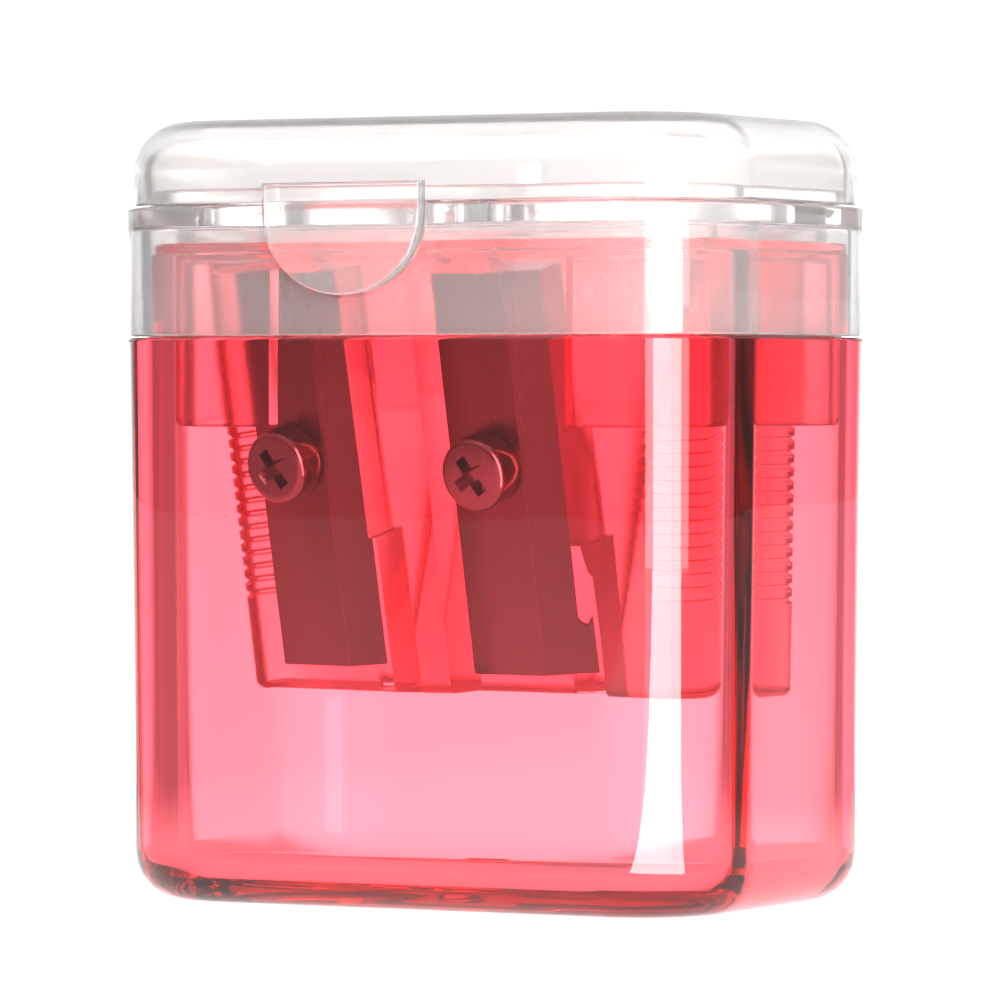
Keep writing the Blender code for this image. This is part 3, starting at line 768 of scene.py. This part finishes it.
def make_sky():
    """A white surround with a bright backdrop behind the object and a soft ceiling."""
    world = bpy.data.worlds.new("studio")
    bpy.context.scene.world = world
    world.use_nodes = True
    tree = world.node_tree
    sky = tree.nodes["Background"]
    sky.inputs["Color"].default_value = (1.0, 1.0, 1.0, 1.0)
    place = tree.nodes.new("ShaderNodeTexCoord")
    split = tree.nodes.new("ShaderNodeSeparateXYZ")
    tree.links.new(place.outputs["Generated"], split.inputs["Vector"])
    backdrop = brightness_by_bearing(tree, place.outputs["Generated"], SKY_STOPS)
    limited = math_value(tree, "MINIMUM", backdrop, ramp_value(tree, split.outputs["Z"], *SKY_LIMIT))
    total = math_value(tree, "MAXIMUM", limited, ramp_value(tree, split.outputs["Z"], *CEILING))
    tree.links.new(total, sky.inputs["Strength"])


def lit_surface(name, colour, strength):
    made, _, _, shader = new_material(name)
    shader.inputs["Base Color"].default_value = (*colour, 1.0)
    shader.inputs["Roughness"].default_value = 0.9
    shader.inputs["Emission Color"].default_value = (1.0, 1.0, 1.0, 1.0)
    shader.inputs["Emission Strength"].default_value = strength
    return made


def make_glow():
    """A bright strip of floor below the softbox, so its reflection reaches the base."""
    bm = bmesh.new()
    corners = []
    for reach, side in ((0, -1), (0, 1), (1, 1), (1, -1)):
        angle = SOFTBOX_AZIMUTH + side * GLOW_SPREAD
        corners.append(bm.verts.new((GLOW_REACH[reach] * math.sin(angle),
                                     -GLOW_REACH[reach] * math.cos(angle), 0.0)))
    face = bm.faces.new(corners)
    if face.normal.z < 0.0:
        face.normal_flip()
    mesh = bpy.data.meshes.new("studio_glow")
    bm.to_mesh(mesh)
    bm.free()
    glow = bpy.data.objects.new("studio_glow", mesh)
    bpy.context.scene.collection.objects.link(glow)
    glow.location = (0.0, 0.0, -0.00015)
    glow.data.materials.append(lit_surface("bright_floor", (0.25, 0.25, 0.25), GLOW_RADIANCE))


def make_studio():
    scene = bpy.context.scene
    scene.view_settings.view_transform = "Standard"
    scene.cycles.max_bounces = 40
    scene.cycles.transmission_bounces = 40
    scene.cycles.glossy_bounces = 40
    scene.cycles.transparent_max_bounces = 16
    make_sky()
    for index, (size, radiance) in enumerate(SOFTBOXES):
        add_softbox(f"softbox_{index}", SOFTBOX_AZIMUTH, 0.03, size, radiance,
                    SOFTBOX_DISTANCE - 0.01 * index)
    make_glow()

    bpy.ops.mesh.primitive_plane_add(size=6.0, location=(0.0, 0.0, -0.0002))
    floor = bpy.context.object
    floor.name = "studio_floor"
    made = lit_surface("white_floor", (0.25, 0.25, 0.25), 1.0)
    tree = made.node_tree
    place = tree.nodes.new("ShaderNodeTexCoord")
    across = tree.nodes.new("ShaderNodeVectorMath")
    across.operation = "DOT_PRODUCT"
    across.inputs[1].default_value = (math.cos(VIEW_AZIMUTH), math.sin(VIEW_AZIMUTH), 0.0)
    tree.links.new(place.outputs["Object"], across.inputs[0])
    offset = tree.nodes.new("ShaderNodeMath")
    offset.operation = "ABSOLUTE"
    tree.links.new(across.outputs["Value"], offset.inputs[0])
    total = math_value(tree, "MAXIMUM", ramp_value(tree, offset.outputs["Value"], *FLOOR_STRIP),
                       brightness_by_bearing(tree, place.outputs["Object"], FLOOR_STOPS))
    tree.links.new(total, tree.nodes["Principled BSDF"].inputs["Emission Strength"])
    floor.data.materials.append(made)


def make_camera():
    data = bpy.data.cameras.new("camera")
    data.lens = VIEW_LENS
    data.sensor_width = 36.0
    data.clip_start = 0.01
    camera = bpy.data.objects.new("camera", data)
    bpy.context.scene.collection.objects.link(camera)
    across = Vector((math.cos(VIEW_AZIMUTH), math.sin(VIEW_AZIMUTH), 0.0))
    back = Vector((math.sin(VIEW_AZIMUTH) * math.cos(VIEW_PITCH),
                   -math.cos(VIEW_AZIMUTH) * math.cos(VIEW_PITCH), math.sin(VIEW_PITCH)))
    target = across * VIEW_TARGET_ACROSS + Vector((0.0, 0.0, VIEW_TARGET_HEIGHT))
    camera.location = target + back * VIEW_DISTANCE
    camera.rotation_euler = (-back).to_track_quat("-Z", "Y").to_euler()
    bpy.context.scene.camera = camera


# ---------------------------------------------------------------- assembly

def show(piece, node, body, material):
    """Put a finished piece in place of its CAD node."""
    piece.data.materials.clear()
    piece.data.materials.append(material)
    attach(piece, body)
    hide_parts(node)


def build():
    red = clear_moulding("red_polystyrene", (1.0, 0.97, 0.97), (0.96, 0.06, 0.19), 400.0, 1.0, 0.02, 1.57)
    red_core = clear_moulding("red_polystyrene_matt", (1.0, 0.97, 0.97), (0.985, 0.06, 0.16), 170.0, 1.0,
                              0.22, 1.18)
    milky = clear_moulding("clear_polypropylene", (0.99, 0.975, 0.965), (0.9, 0.9, 0.9), 20.0, 0.91, 0.08)
    # The blade's last colour is painted shade on its ground bevel strip, a darker copy of the steel colour.
    blade_steel = ground_steel("ground_blade_steel_painted_bevel_shade", (0.36, 0.21, 0.185), 0.34, 400.0, (1.0, 1.0, 0.05), 0.12,
                               (0.27, 0.16, 0.14))
    screw_steel = ground_steel("plated_screw_steel", (0.42, 0.33, 0.31), 0.12, 300.0, (1.0, 1.0, 1.0), 0.08)

    show(make_receptacle(), "receptacle", "receptacle", red)
    show(make_insert(), "sharpener_insert", "sharpener", red_core)
    for kind in HOLES:
        show(make_blade(kind), f"blade_{kind}", "sharpener", blade_steel)
        show(make_screw(kind), f"screw_{kind}", "sharpener", screw_steel)
    show(make_collar(), "collar", "collar", milky)
    show(make_lid(), "lid", "lid", milky)
    make_studio()
    make_camera()


build()
